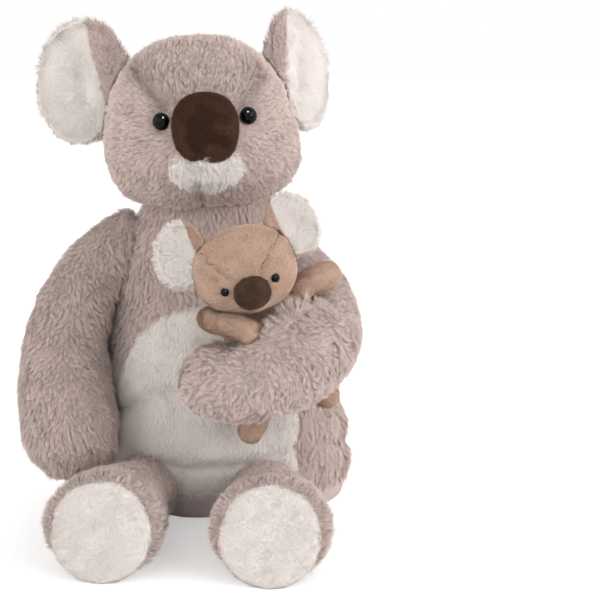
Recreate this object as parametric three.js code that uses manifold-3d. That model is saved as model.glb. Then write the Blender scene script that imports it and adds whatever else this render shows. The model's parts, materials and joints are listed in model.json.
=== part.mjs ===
// Plush koala that sits with a small koala in its left arm. The small one is the warmer: a sewn pouch of
// cherry pits fills its body, and it lifts out of the arm to be warmed or chilled.
// Millimetres, +Z up. The big koala faces -Y. The middle of its flat seat is the origin.
// Soft pieces are closed solids at the mean surface of their pile.
import * as THREE from 'three';
import { mergeVertices } from 'three/addons/utils/BufferGeometryUtils.js';
import Module from 'manifold-3d';

const wasm = await Module();
wasm.setup();

// Fabric and clearances
const WALL = 3; // fur fabric with its pressed pile
const THIN_WALL = 2; // short plush of the small koala
const GAP = 0.3; // between pieces that touch
const PLAY = 0.5; // between pieces that turn past each other
const PAW_PLAY = 1.5; // and between the small right paw, which swings over it, and the left arm
const FAR = 500; // past the whole toy, for blocks that trim it

// Torso: stations from the seat to the neck. The form runs on below the seat and above the neck, and is
// cut there.
const NECK_HEIGHT = 219;
const TORSO = [
  { height: -30, halfWidth: 62, front: 34, back: 48 },
  { height: 0, halfWidth: 90, front: 60, back: 72 },
  { height: 45, halfWidth: 98, front: 73, back: 80 },
  { height: 100, halfWidth: 89, front: 72, back: 74 },
  { height: 150, halfWidth: 76, front: 61, back: 62 },
  { height: 192, halfWidth: 60, front: 49, back: 47 },
  { height: NECK_HEIGHT, halfWidth: 43, front: 44, back: 27 },
  { height: NECK_HEIGHT + 26, halfWidth: 33, front: 38, back: 19 },
];
const SEAT_RISE_FRONT = 21; // height of the seat panel's seam at the front
const SEAT_RISE_BACK = 7; // and at the back
const BELLY_TOP = 154;
const BELLY_ARCH = 80; // height of the arch over the straight sides of the belly panel
const BELLY_HALF_WIDTH = 66;

// Head: a round form on the neck plane, wider at the cheeks, with a muzzle below the nose
const HEAD = { halfWidth: 67, front: 66, back: 56, top: 70.5, bottom: 53, squareness: 2.4 };
const HEAD_MIDDLE = 45; // height of its middle above the neck plane
const CHEEKS = 0.08; // share by which the lower half is wider than the upper
const MUZZLE = { depth: 14, halfWidth: 30, height: 26, level: 32 };
const HEAD_AT = [-4, -9]; // middle of the neck
const HEAD_TURN = 9; // degrees to its left, as it is posed
const HEAD_TILT = 3.5; // degrees, left ear up
const NOSE = { halfWidth: 22.5, up: 22.5, down: 27.5, depth: 14, level: 57, squareness: 2.3 };
const EYE = { apart: 58, level: 61.5, radius: 5.2, dome: 4.2, sunk: 1.2, shankRadius: 1.7, shankLength: 8.5 };
const EYE_SKEW = 1.7; // by which the left eye sits higher, and the right one lower, than their level
const WASHER = { radius: 5.5, thickness: 1.4, depth: WALL + 0.8 };
const CHIN = { halfWidth: 24.5, top: 44, bottom: 13.5 };

// Ears: oval dishes with a padded front, set in the sides of the head
const EAR = { width: 68, height: 90, thickness: 13, rim: 7, level: 82, setBack: 6, sunk: 11 };
const EAR_ROOT = HEAD.halfWidth - 11; // from the middle of the head to the ear's root line
const EAR_SLANT = 13; // degrees that the root line leans in at the top
const EAR_SWEEP = { right: 12, left: 46 }; // degrees that each ear leans back
const EAR_ROLL = { right: 0, left: 14 }; // degrees that the top of each ear leans out
const EAR_FOLD = [-10, 15]; // degrees, forward and back

// Limbs: stations [x, y, z, radius] of each middle line, and how much wider than high it is where it is
const RIGHT_ARM = [
  [-60, -6, 190, 23],
  [-84, -18, 166, 27],
  [-97, -42, 130, 30],
  [-96, -61, 93, 34],
  [-91, -71, 67, 35.5],
];
const LEFT_ARM = [
  [54, -8, 180, 22],
  [72, -20, 160, 24.5],
  [82, -58, 140, 28],
  [71, -98, 130, 32],
  [43, -122, 118.3, 27.3],
  [18, -118, 117, 26.5],
];
const LEGS = {
  right: [
    [-40, -48, 21.5, 22],
    [-45, -84, 23.5, 24],
    [-49, -118, 28, 28.5, 1.12],
    [-50.5, -152, 31.5, 32.5, 1.18],
  ],
  left: [
    [40, -48, 21.5, 22],
    [46, -84, 23.5, 24],
    [53, -118, 28, 28.5, 1.12],
    [55.5, -152, 31.5, 32.5, 1.18],
  ],
};
const SOLE = { radius: 29, thickness: 7, lean: 14, setIn: 4, reach: 163, height: 30.5, round: 1.6 };
const SHOULDER = { height: 190, side: 66, depth: -8 };
const HIP = { height: 22, side: 42, depth: -56 };
const ARM_SWING = [0, 40]; // degrees, forward and up
const ARM_OPEN = [0, 30]; // degrees, away from the small koala
const LEG_SWING = [-12, 0]; // degrees, the foot down

// Small koala, in its own frame: origin at its neck, +Z up its back, facing -Y
const CUB_AT = [41, -94, 170];
const CUB_LEAN = 15; // degrees to its right
const CUB_STOOP = 16; // degrees forward
const CUB_BODY = { halfWidth: 31, front: 17, back: 16, top: 42, bottom: 40, squareness: 2.6 };
const CUB_MIDDLE = 36; // of the body, below the neck plane
const CUB_HEAD = { halfWidth: 33, front: 27, back: 25, top: 27.5, bottom: 27.5, squareness: 2.3 };
const CUB_HEAD_AT = [0, -12, 24];
const CUB_NOD = 16; // degrees that the head looks up from the back line
const CUB_GLANCE = 10; // degrees to its left
const CUB_NOSE = { halfWidth: 12.5, up: 11.5, down: 11.5, depth: 7.5, level: -11, squareness: 2.2 };
const CUB_EYE = { apart: 33, level: -7, radius: 2.9, dome: 2.4, sunk: 0.8, shankRadius: 1, shankLength: 4 };
const CUB_EAR = { width: 34, height: 44, thickness: 9, rim: 4, level: 15, setBack: 2, sunk: 5 };
const CUB_EAR_ROOT = CUB_HEAD.halfWidth - 8;
const CUB_EAR_SLANT = 20;
const CUB_EAR_SWEEP = 14;
const CUB_HEAD_TURN = [-8, 8];
const CUB_ARM_SWING = [0, 15]; // the right one outward, the left one up
const CUB_LEG_SWING = { right: [-6, 6], left: [-6, 0] };
const CUB_LIFT_PATH = [12, 24, 36]; // places of its body on the way out, which the big one's arm leaves free
const CUB_PATCH = { halfWidth: 17, top: -14, bottom: -58 };
const CUB_ARMS = {
  right: [
    [-22, -2, -12, 8],
    [-32, -14, -3, 8.5],
    [-18, -32, 0, 8.5],
    [0, -39, -5, 8],
  ],
  left: [
    [22, -2, -10, 8.5],
    [33, 7, -5, 9],
    [40, 16, -8.5, 10],
    [45, 22, -10.5, 10],
  ],
};
const CUB_LEGS = {
  right: [
    [-12, 2, -68, 9.5],
    [-20, -5, -81, 9.5],
    [-30, -16, -90, 9.5],
  ],
  left: [
    [12, 2, -66, 9.5],
    [19, -1, -76, 9.5],
    [24, -5, -84, 9.5],
  ],
};

// Fineness of the meshes
const BODY_SIDES = 24;
const BODY_RINGS = 13;
const LIMB_SIDES = 14;
const LIMB_RINGS = 10;
const SMALL_SIDES = 12;
const SMALL_RINGS = 6;
const CAP_RINGS = 3;
const DISH_SIDES = 18;
const SMALL_DISH_SIDES = 14;
const COARSE = { sides: 16, rings: 8, margin: 2.4 }; // stands out, so that its flats clear the fine form
const TURN_STEPS = 3; // in which a piece's room to turn is cut
const OPEN_STEPS = 6; // and the left arm's room beside the small koala

const rad = THREE.MathUtils.degToRad;
const SIDES = [['right', -1], ['left', 1]];
const AHEAD = new THREE.Vector3(-1, 0, 0); // axis about which a hanging limb swings forward and up
const Y = new THREE.Vector3(0, 1, 0);
const Z = new THREE.Vector3(0, 0, 1);

// A merged copy that holds only its corners, so that it counts as closed
function bare(geometry) {
  const copy = geometry.clone();
  copy.deleteAttribute('normal');
  copy.deleteAttribute('uv');
  return mergeVertices(copy, 1e-4);
}

function solid(geometry) {
  const closed = bare(geometry);
  const vertProperties = new Float32Array(closed.attributes.position.array);
  const triVerts = new Uint32Array(closed.index.array);
  return new wasm.Manifold(new wasm.Mesh({ numProp: 3, vertProperties, triVerts }));
}

function geometryOf(manifold) {
  const mesh = manifold.getMesh();
  const geometry = new THREE.BufferGeometry();
  geometry.setAttribute('position', new THREE.BufferAttribute(new Float32Array(mesh.vertProperties), 3));
  geometry.setIndex(new THREE.BufferAttribute(new Uint32Array(mesh.triVerts), 1));
  geometry.computeVertexNormals();
  return geometry;
}

// The same form with its surface moved outward, or inward where the distance is negative
function swell(geometry, distance) {
  const form = bare(geometry);
  form.computeVertexNormals();
  const position = form.attributes.position;
  const normal = form.attributes.normal;
  const point = new THREE.Vector3();
  const out = new THREE.Vector3();
  for (let i = 0; i < position.count; i += 1) {
    point.fromBufferAttribute(position, i);
    out.fromBufferAttribute(normal, i);
    point.addScaledVector(out, distance);
    position.setXYZ(i, point.x, point.y, point.z);
  }
  form.deleteAttribute('normal');
  return form;
}

// A closed skin over rings of points, with a fan to a pole at each end
function skin(rings, firstPole, lastPole) {
  const sides = rings[0].length;
  const points = [...rings.flat(), firstPole, lastPole];
  const first = points.length - 2;
  const last = points.length - 1;
  const index = [];
  for (let k = 0; k < sides; k += 1) {
    const next = (k + 1) % sides;
    for (let i = 0; i + 1 < rings.length; i += 1) {
      const low = i * sides;
      const high = low + sides;
      index.push(low + k, low + next, high + next, low + k, high + next, high + k);
    }
    const top = (rings.length - 1) * sides;
    index.push(first, next, k, last, top + k, top + next);
  }
  const geometry = new THREE.BufferGeometry().setFromPoints(points);
  geometry.setIndex(index);
  return geometry;
}

// An upright form through the stations, each an oval with its own reach to the front and to the back
function torsoForm(sides, ringCount) {
  const widths = new THREE.CatmullRomCurve3(TORSO.map((s) => new THREE.Vector3(s.halfWidth, s.height, 0)));
  const depths = new THREE.CatmullRomCurve3(TORSO.map((s) => new THREE.Vector3(s.front, s.back, 0)));
  const rings = [];
  for (let i = 0; i <= ringCount; i += 1) {
    const width = widths.getPoint(i / ringCount);
    const depth = depths.getPoint(i / ringCount);
    const ring = [];
    for (let k = 0; k < sides; k += 1) {
      const angle = (2 * Math.PI * (k + 0.5)) / sides;
      const reach = Math.sin(angle) < 0 ? depth.x : depth.y;
      ring.push(new THREE.Vector3(width.x * Math.cos(angle), reach * Math.sin(angle), width.y));
    }
    rings.push(ring);
  }
  const low = new THREE.Vector3(0, 0, TORSO[0].height);
  const high = new THREE.Vector3(0, 0, TORSO[TORSO.length - 1].height);
  return skin(rings, low, high);
}

// A round form about its middle, with its own reach each way. A squareness of 2 is an ellipsoid, and more
// is boxier.
function roundForm(size, sides, ringCount) {
  const geometry = new THREE.SphereGeometry(1, sides, ringCount);
  geometry.rotateX(Math.PI / 2);
  const position = geometry.attributes.position;
  const point = new THREE.Vector3();
  for (let i = 0; i < position.count; i += 1) {
    point.fromBufferAttribute(position, i);
    const sum = point.toArray().reduce((total, part) => total + Math.abs(part) ** size.squareness, 0);
    point.divideScalar(sum ** (1 / size.squareness));
    const depth = point.y < 0 ? size.front : size.back;
    const height = point.z < 0 ? size.bottom : size.top;
    position.setXYZ(i, point.x * size.halfWidth, point.y * depth, point.z * height);
  }
  return bare(geometry);
}

// The big koala's head about its neck: cheeks wider than the brow, and a muzzle that swells under the nose
function headForm(sides, ringCount) {
  const form = roundForm(HEAD, sides, ringCount);
  form.translate(0, 0, HEAD_MIDDLE);
  const position = form.attributes.position;
  for (let i = 0; i < position.count; i += 1) {
    const height = (position.getZ(i) - HEAD_MIDDLE) / HEAD.top;
    const x = position.getX(i) * (1 - CHEEKS * height);
    const across = x / MUZZLE.halfWidth;
    const along = (position.getZ(i) - MUZZLE.level) / MUZZLE.height;
    const front = Math.max(0, -position.getY(i) / HEAD.front);
    const swelling = MUZZLE.depth * front * Math.exp(-across * across - along * along);
    position.setXYZ(i, x, position.getY(i) - swelling, position.getZ(i));
  }
  form.rotateY(-rad(HEAD_TILT));
  return form;
}

// A stuffed limb: round or oval sections along a smooth middle line, with domed ends
function limbForm(stations, sides, ringCount) {
  const line = new THREE.CatmullRomCurve3(stations.map(([x, y, z]) => new THREE.Vector3(x, y, z)));
  const girths = stations.map(([, , , radius, breadth = 1]) => new THREE.Vector3(radius, breadth, 0));
  const girth = new THREE.CatmullRomCurve3(girths);
  const sections = [];
  for (let i = 0; i <= ringCount; i += 1) {
    const at = i / ringCount;
    const { x: radius, y: breadth } = girth.getPoint(at);
    sections.push({ middle: line.getPoint(at), along: line.getTangent(at), radius, breadth });
  }
  const dome = (section, sign) => {
    const steps = [];
    for (let k = 1; k < CAP_RINGS; k += 1) {
      const angle = (k / CAP_RINGS) * (Math.PI / 2);
      const middle = section.middle.clone();
      middle.addScaledVector(section.along, sign * section.radius * Math.sin(angle));
      steps.push({ ...section, middle, radius: section.radius * Math.cos(angle) });
    }
    return steps;
  };
  const first = sections[0];
  const last = sections[sections.length - 1];
  const all = [...dome(first, -1).reverse(), ...sections, ...dome(last, 1)];
  const level = Math.abs(first.along.z) < 0.9;
  const side = new THREE.Vector3().crossVectors(first.along, level ? Z : Y).normalize();
  const rings = all.map(({ middle, along, radius, breadth }) => {
    side.addScaledVector(along, -side.dot(along)).normalize();
    const over = new THREE.Vector3().crossVectors(along, side);
    return Array.from({ length: sides }, (unused, k) => {
      const angle = (2 * Math.PI * k) / sides;
      const point = middle.clone().addScaledVector(side, radius * breadth * Math.cos(angle));
      return point.addScaledVector(over, radius * Math.sin(angle));
    });
  });
  const start = first.middle.clone().addScaledVector(first.along, -first.radius);
  const end = last.middle.clone().addScaledVector(last.along, last.radius);
  return skin(rings, start, end);
}

// A block between two corners, for trimming
function block(low, high) {
  const size = new THREE.Vector3().subVectors(high, low);
  const middle = new THREE.Vector3().addVectors(low, high).divideScalar(2);
  return solid(new THREE.BoxGeometry(size.x, size.y, size.z).translate(middle.x, middle.y, middle.z));
}

function above(height) {
  return block(new THREE.Vector3(-FAR, -FAR, height), new THREE.Vector3(FAR, FAR, FAR));
}

function below(height) {
  return block(new THREE.Vector3(-FAR, -FAR, -FAR), new THREE.Vector3(FAR, FAR, height));
}

// A geometry turned about a line, as a copy
function turned(geometry, pivot, axis, degrees) {
  const copy = geometry.clone();
  copy.translate(-pivot.x, -pivot.y, -pivot.z);
  copy.applyMatrix4(new THREE.Matrix4().makeRotationAxis(axis, rad(degrees)));
  copy.translate(pivot.x, pivot.y, pivot.z);
  return copy;
}

// The room that a piece keeps free to turn through its range: the body beside it, and a coarse form round
// that body turned back step by step
function roomToTurn(form, coarseForm, pivot, axis, [from, to], steps) {
  let room = solid(form);
  for (let i = 0; i <= steps; i += 1) {
    const angle = from + ((to - from) * i) / steps;
    if (angle !== 0) {
      room = room.add(solid(turned(coarseForm, pivot, axis, -angle)));
    }
  }
  return room;
}

// An outline's prism along Y that stands before the middle plane, for cutting a panel out of a cover
function prism(outline) {
  const geometry = new THREE.ExtrudeGeometry(outline, { depth: FAR, bevelEnabled: false, curveSegments: 12 });
  geometry.rotateX(Math.PI / 2);
  return solid(geometry);
}

function ovalPrism(halfWidth, bottom, top, margin) {
  const outline = new THREE.Shape();
  const halfHeight = (top - bottom) / 2 + margin;
  outline.absellipse(0, (bottom + top) / 2, halfWidth + margin, halfHeight, 0, 2 * Math.PI, false, 0);
  return prism(outline);
}

function archPrism(halfWidth, top, arch, margin) {
  const outline = new THREE.Shape();
  const side = halfWidth + margin;
  outline.moveTo(-side, -1);
  outline.lineTo(side, -1);
  outline.absellipse(0, top - arch, side, arch + margin, 0, Math.PI, false, 0);
  return prism(outline);
}

// Where a line from the front at (x, z) meets a form
function seatOn(form, x, z) {
  const ray = new THREE.Raycaster(new THREE.Vector3(x, -FAR, z), Y);
  return ray.intersectObject(new THREE.Mesh(form))[0].point;
}

// A padded nose round the point of the form's front at its level. Its back is still to be cut by the form.
function noseForm(nose, form, sides, ringCount) {
  const size = { ...nose, front: nose.depth, back: nose.depth, top: nose.up, bottom: nose.down };
  const geometry = roundForm(size, sides, ringCount);
  geometry.translate(0, seatOn(form, 0, nose.level).y, nose.level);
  return solid(geometry);
}

// A turned piece whose profile [radius, height] runs from axis to axis, set at a point and facing a direction
function turnedPiece(profile, sides, at, facing) {
  const geometry = new THREE.LatheGeometry(profile.map(([r, h]) => new THREE.Vector2(r, h)), sides);
  geometry.applyQuaternion(new THREE.Quaternion().setFromUnitVectors(Y, facing));
  geometry.translate(at.x, at.y, at.z);
  return geometry;
}

// Colours of the fabrics and fittings
const GREY_FUR = { color: 0xb3a199, roughness: 0.95 };
const WHITE_FUR = { color: 0xe6dfd9, roughness: 0.95 };
const SEAT_FABRIC = { color: 0x8f8580, roughness: 0.9 };
const NOSE_VELVET = { color: 0x4a3629, roughness: 0.85 };
const TAN_PLUSH = { color: 0xc2a38c, roughness: 0.95 };
const CREAM_PLUSH = { color: 0xd6cdc4, roughness: 0.95 };
const TAUPE_VELVET = { color: 0x6f5546, roughness: 0.85 };
const BLACK_BUTTON = { color: 0x0d0d10, roughness: 0.1 };
const WHITE_PLASTIC = { color: 0xdedede, roughness: 0.5 };
const FIBRE = { color: 0xf2f2f0, roughness: 1 };
const COTTON = { color: 0xe3d8c4, roughness: 0.9 };

function piece(name, manifold, look, group, pivot = new THREE.Vector3()) {
  const geometry = geometryOf(manifold);
  geometry.translate(-pivot.x, -pivot.y, -pivot.z);
  const mesh = new THREE.Mesh(geometry, new THREE.MeshStandardMaterial({ ...look, metalness: 0 }));
  mesh.name = name;
  mesh.position.copy(pivot);
  group.add(mesh);
}

const toy = new THREE.Group();
const torso = torsoForm(BODY_SIDES, BODY_RINGS);
const torsoRoom = swell(torso, PLAY);
const coarseTorso = swell(torsoForm(COARSE.sides, COARSE.rings), PLAY + COARSE.margin);

// Seat panel, cover, belly panel and filling of the torso
function addTorso() {
  const outside = solid(torso);
  const inside = solid(swell(torso, -WALL));
  const shell = outside.subtract(inside);
  const slope = Math.atan2(SEAT_RISE_FRONT - SEAT_RISE_BACK, TORSO[2].front + TORSO[2].back);
  const seamHeight = (SEAT_RISE_FRONT + SEAT_RISE_BACK) / 2;
  const underSeam = (drop) => {
    const wedge = new THREE.BoxGeometry(FAR, FAR, FAR);
    wedge.translate(0, 0, -FAR / 2 - drop);
    wedge.rotateX(-slope);
    wedge.translate(0, 0, seamHeight);
    return solid(wedge);
  };
  const seatHollow = inside.intersect(above(WALL));
  const seat = outside.intersect(above(0)).intersect(underSeam(GAP)).subtract(seatHollow);
  piece('seat_base', seat, SEAT_FABRIC, toy);
  const belly = (margin) => archPrism(BELLY_HALF_WIDTH, BELLY_TOP, BELLY_ARCH, margin);
  const cover = shell.subtract(underSeam(0)).intersect(below(NECK_HEIGHT)).subtract(belly(GAP));
  piece('torso_cover', cover, GREY_FUR, toy);
  const panel = shell.intersect(belly(0)).subtract(underSeam(0));
  piece('belly_panel', panel, WHITE_FUR, toy);
  const stuffed = solid(swell(torso, -WALL - GAP));
  const filling = stuffed.intersect(above(WALL + GAP)).intersect(below(NECK_HEIGHT - GAP));
  piece('torso_filling', filling, FIBRE, toy);
}

// Head: its frame has the middle of the neck plane as origin and is turned to the pose of the photograph
const headGroup = new THREE.Group();
headGroup.position.set(HEAD_AT[0], HEAD_AT[1], NECK_HEIGHT);
headGroup.rotation.z = rad(HEAD_TURN);
toy.add(headGroup);
const head = headForm(BODY_SIDES, BODY_RINGS + 1);

// A glossy eye on its shank, from the seat of its dome outward
function eyeProfile(eye) {
  const steps = 4;
  const profile = [[0, -eye.shankLength], [eye.shankRadius, -eye.shankLength], [eye.shankRadius, GAP]];
  for (let k = 0; k < steps; k += 1) {
    const angle = ((k / steps) * Math.PI) / 2;
    profile.push([eye.radius * Math.cos(angle), GAP + eye.dome * Math.sin(angle)]);
  }
  profile.push([0, GAP + eye.dome]);
  return profile;
}

// The seat that an eye leaves in the fabric: a dimple for its dome and a hole for its shank
function socketProfile(eye, depth) {
  const bore = eye.shankRadius + GAP;
  const dimple = eye.radius + GAP;
  const out = 2 * eye.dome;
  return [[0, -depth], [bore, -depth], [bore, 0], [dimple, 0], [dimple, out], [0, out]];
}

// Where an eye is set, and the way it looks: half the eyes' distance to one side, sunk a little into the form
function eyePlace(form, eye, sign, middle, skew = 0) {
  const at = seatOn(form, (sign * eye.apart) / 2, eye.level + sign * skew);
  const facing = at.clone().sub(middle).normalize();
  at.addScaledVector(facing, -eye.sunk);
  return { at, facing };
}

function addHead() {
  const overNeck = above(GAP);
  const chin = (margin) => ovalPrism(CHIN.halfWidth, CHIN.bottom, CHIN.top, margin);
  const shell = solid(head).subtract(solid(swell(head, -WALL))).intersect(overNeck);
  let cover = shell.subtract(chin(GAP));
  let filling = solid(swell(head, -WALL - GAP)).intersect(overNeck);
  for (const [side, sign] of SIDES) {
    const middle = new THREE.Vector3(0, 0, NOSE.level);
    const { at, facing } = eyePlace(head, EYE, sign, middle, EYE_SKEW);
    const eye = solid(turnedPiece(eyeProfile(EYE), SMALL_SIDES, at, facing));
    piece(`eye_${side}`, eye, BLACK_BUTTON, headGroup);
    cover = cover.subtract(solid(turnedPiece(socketProfile(EYE, HEAD.front), SMALL_SIDES, at, facing)));
    const bore = EYE.shankRadius + GAP;
    const outer = -WASHER.depth;
    const inner = outer - WASHER.thickness;
    const rim = WASHER.radius;
    const ring = [[bore, outer], [bore, inner], [rim, inner], [rim, outer], [bore, outer]];
    const washer = solid(turnedPiece(ring, SMALL_SIDES, at, facing));
    piece(`eye_washer_${side}`, washer, WHITE_PLASTIC, headGroup);
    const pocket = rim + GAP;
    const floor = -EYE.shankLength - GAP;
    const room = [[0, floor], [pocket, floor], [pocket, EYE.dome], [0, EYE.dome]];
    filling = filling.subtract(solid(turnedPiece(room, SMALL_SIDES, at, facing)));
  }
  const nose = noseForm(NOSE, head, 18, 12);
  piece('nose', nose.subtract(solid(swell(head, GAP))), NOSE_VELVET, headGroup);
  piece('chin_patch', shell.intersect(chin(0)), WHITE_FUR, headGroup);
  piece('head_cover', cover, GREY_FUR, headGroup);
  piece('head_filling', filling, FIBRE, headGroup);
}

// A dish-shaped ear: the back holds a padded front in a shallow recess. It stands on its root, an upright
// line that leans in at the top by the slant, and leans back by the sweep. The dish is rolled in its plane.
function earParts(ear, sign, slant, sweep, roll, sides) {
  const radius = ear.height / 2;
  const half = ear.thickness / 2;
  const recess = radius - ear.rim;
  const back = [[0, -half], [0.5 * radius, -0.92 * half], [0.85 * radius, -0.5 * half]];
  back.push([radius, 0.15 * half]);
  back.push([radius - 0.25 * ear.rim, 0.8 * half], [radius - 0.6 * ear.rim, half], [recess, 0.6 * half]);
  back.push([0.95 * recess, 0.1 * half], [0.5 * recess, -0.25 * half], [0, -0.35 * half]);
  const front = [[0, -0.35 * half + GAP], [0.5 * recess, -0.25 * half + GAP]];
  front.push([0.95 * recess - GAP, 0.1 * half + GAP]);
  front.push([recess - 2 * GAP, 0.6 * half], [0.7 * recess, 0.75 * half], [0, 0.45 * half]);
  const facing = new THREE.Vector3(0, -1, 0);
  const place = (profile) => {
    const geometry = turnedPiece(profile, sides, new THREE.Vector3(), facing);
    geometry.scale(ear.width / ear.height, 1, 1);
    geometry.rotateY(sign * rad(roll));
    geometry.translate(sign * (ear.width / 2 - ear.sunk), 0, 0);
    geometry.rotateZ(sign * rad(sweep));
    geometry.rotateY(-sign * rad(slant));
    return geometry;
  };
  return { back: place(back), front: place(front) };
}

function addEars() {
  const headRoom = swell(head, GAP);
  const tilt = new THREE.Matrix4().makeRotationY(-rad(HEAD_TILT));
  for (const [side, sign] of SIDES) {
    const pivot = new THREE.Vector3(sign * EAR_ROOT, EAR.setBack, EAR.level).applyMatrix4(tilt);
    const axis = Z.clone().applyAxisAngle(Y, -sign * rad(EAR_SLANT) - rad(HEAD_TILT)).multiplyScalar(sign);
    const parts = earParts(EAR, sign, EAR_SLANT, EAR_SWEEP[side], EAR_ROLL[side], DISH_SIDES);
    const room = roomToTurn(headRoom, headRoom, pivot, axis, EAR_FOLD, TURN_STEPS);
    for (const [layer, look] of [['back', GREY_FUR], ['front', WHITE_FUR]]) {
      const geometry = parts[layer];
      geometry.rotateY(-rad(HEAD_TILT));
      geometry.translate(pivot.x, pivot.y, pivot.z);
      piece(`ear_${layer}_${side}`, solid(geometry).subtract(room), look, headGroup, pivot);
    }
  }
}

// Legs lie on the floor, cut flat there. Each ends in a sole that leans back and sits in its fur rim.
const legForms = {};

function addLegs() {
  const onFloor = above(0);
  for (const [side, sign] of SIDES) {
    const stations = LEGS[side];
    const pivot = new THREE.Vector3(sign * HIP.side, HIP.depth, HIP.height);
    const form = limbForm(stations, LIMB_SIDES + 2, LIMB_RINGS - 2);
    legForms[side] = form;
    const room = roomToTurn(torsoRoom, coarseTorso, pivot, AHEAD, LEG_SWING, 1);
    const facing = new THREE.Vector3(0, -Math.cos(rad(SOLE.lean)), Math.sin(rad(SOLE.lean)));
    const at = new THREE.Vector3(stations[stations.length - 1][0], -SOLE.reach, SOLE.height);
    const reach = FAR / 4;
    const flat = turnedPiece([[0, 0], [reach, 0], [reach, reach], [0, reach]], SMALL_SIDES, at, facing);
    const pad = (margin) => {
      const radius = SOLE.radius + margin;
      const low = -SOLE.setIn - margin;
      const high = SOLE.thickness - SOLE.setIn;
      const profile = [[0, low], [radius - SOLE.round, low], [radius, low + SOLE.round]];
      profile.push([radius, 0.4 * high], [0.9 * radius, 0.8 * high], [0.5 * radius, high], [0, high]);
      return solid(turnedPiece(profile, DISH_SIDES, at, facing));
    };
    const whole = solid(form).intersect(onFloor).subtract(solid(flat));
    piece(`leg_${side}`, whole.subtract(room).subtract(pad(GAP)), GREY_FUR, toy, pivot);
    piece(`sole_${side}`, pad(0), WHITE_FUR, toy, pivot);
  }
}

// The small koala leans on the big one's arm, in a frame of its own
const cub = new THREE.Group();
cub.position.set(...CUB_AT);
cub.rotation.set(rad(CUB_STOOP), -rad(CUB_LEAN), 0, 'YXZ');
toy.add(cub);
cub.updateMatrix();

const cubBody = roundForm(CUB_BODY, 16, 11);
cubBody.translate(0, 0, -CUB_MIDDLE);
const cubNod = new THREE.Matrix4().makeRotationX(-rad(CUB_NOD));
cubNod.multiply(new THREE.Matrix4().makeRotationZ(rad(CUB_GLANCE))).setPosition(...CUB_HEAD_AT);
const cubFace = roundForm(CUB_HEAD, 18, 11);
const cubHead = cubFace.clone().applyMatrix4(cubNod);

// Arms are cut by the torso, and stay under the head. The left one also leaves the small koala its place
// and its way out, also as it opens.
function addArms() {
  const underHead = below(NECK_HEIGHT - GAP);
  const rightPivot = new THREE.Vector3(-SHOULDER.side, SHOULDER.depth, SHOULDER.height);
  const right = solid(limbForm(RIGHT_ARM, LIMB_SIDES, LIMB_RINGS));
  const rightRoom = roomToTurn(torsoRoom, coarseTorso, rightPivot, AHEAD, ARM_SWING, TURN_STEPS);
  const leg = solid(swell(legForms.right, PLAY));
  const hanging = right.intersect(underHead).subtract(rightRoom).subtract(leg);
  piece('arm_right', hanging, GREY_FUR, toy, rightPivot);
  const leftPivot = new THREE.Vector3(SHOULDER.side, SHOULDER.depth, SHOULDER.height);
  const left = solid(limbForm(LEFT_ARM, LIMB_SIDES, LIMB_RINGS + 4));
  const leftRoom = roomToTurn(torsoRoom, coarseTorso, leftPivot, Z, ARM_OPEN, TURN_STEPS);
  const cubPlace = swell(cubBody, PLAY).applyMatrix4(cub.matrix);
  const cubLeg = swell(limbForm(CUB_LEGS.left, SMALL_SIDES - 2, SMALL_RINGS), PLAY);
  let cubRoom = roomToTurn(cubPlace, cubPlace, leftPivot, Z, ARM_OPEN, OPEN_STEPS);
  cubRoom = cubRoom.add(solid(cubLeg.applyMatrix4(cub.matrix)));
  for (const [stations, margin] of [[CUB_ARMS.right, PAW_PLAY], [CUB_ARMS.left, PLAY]]) {
    const cubArm = swell(limbForm(stations, SMALL_SIDES - 2, SMALL_RINGS), margin);
    cubArm.applyMatrix4(cub.matrix);
    cubRoom = cubRoom.add(roomToTurn(cubArm, cubArm, leftPivot, Z, ARM_OPEN, TURN_STEPS));
  }
  const cubHeadPlace = swell(cubHead, PLAY).applyMatrix4(cub.matrix);
  cubRoom = cubRoom.add(roomToTurn(cubHeadPlace, cubHeadPlace, leftPivot, Z, ARM_OPEN, TURN_STEPS));
  for (const lift of CUB_LIFT_PATH) {
    cubRoom = cubRoom.add(solid(swell(cubBody, PLAY).translate(0, 0, lift).applyMatrix4(cub.matrix)));
  }
  const arm = left.intersect(underHead).subtract(leftRoom).subtract(cubRoom);
  piece('arm_left', arm, GREY_FUR, toy, leftPivot);
}

function addCubBody() {
  const underHead = below(-GAP);
  const outside = solid(cubBody).intersect(underHead);
  const hollow = solid(swell(cubBody, -THIN_WALL)).intersect(below(-GAP - THIN_WALL));
  const shell = outside.subtract(hollow);
  const seam = GAP / 2;
  const before = block(new THREE.Vector3(-FAR, -FAR, -FAR), new THREE.Vector3(FAR, -seam, FAR));
  const behind = block(new THREE.Vector3(-FAR, seam, -FAR), new THREE.Vector3(FAR, FAR, FAR));
  const patch = (margin) => ovalPrism(CUB_PATCH.halfWidth, CUB_PATCH.bottom, CUB_PATCH.top, margin);
  piece('cub_front_panel', shell.intersect(before).subtract(patch(GAP)), TAN_PLUSH, cub);
  piece('cub_back_panel', shell.intersect(behind), TAN_PLUSH, cub);
  piece('cub_belly_patch', shell.intersect(before).intersect(patch(0)), CREAM_PLUSH, cub);
  const pouch = solid(swell(cubBody, -THIN_WALL - GAP)).intersect(below(-2 * GAP - THIN_WALL));
  piece('cherry_pit_pouch', pouch, COTTON, cub);
}

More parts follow.
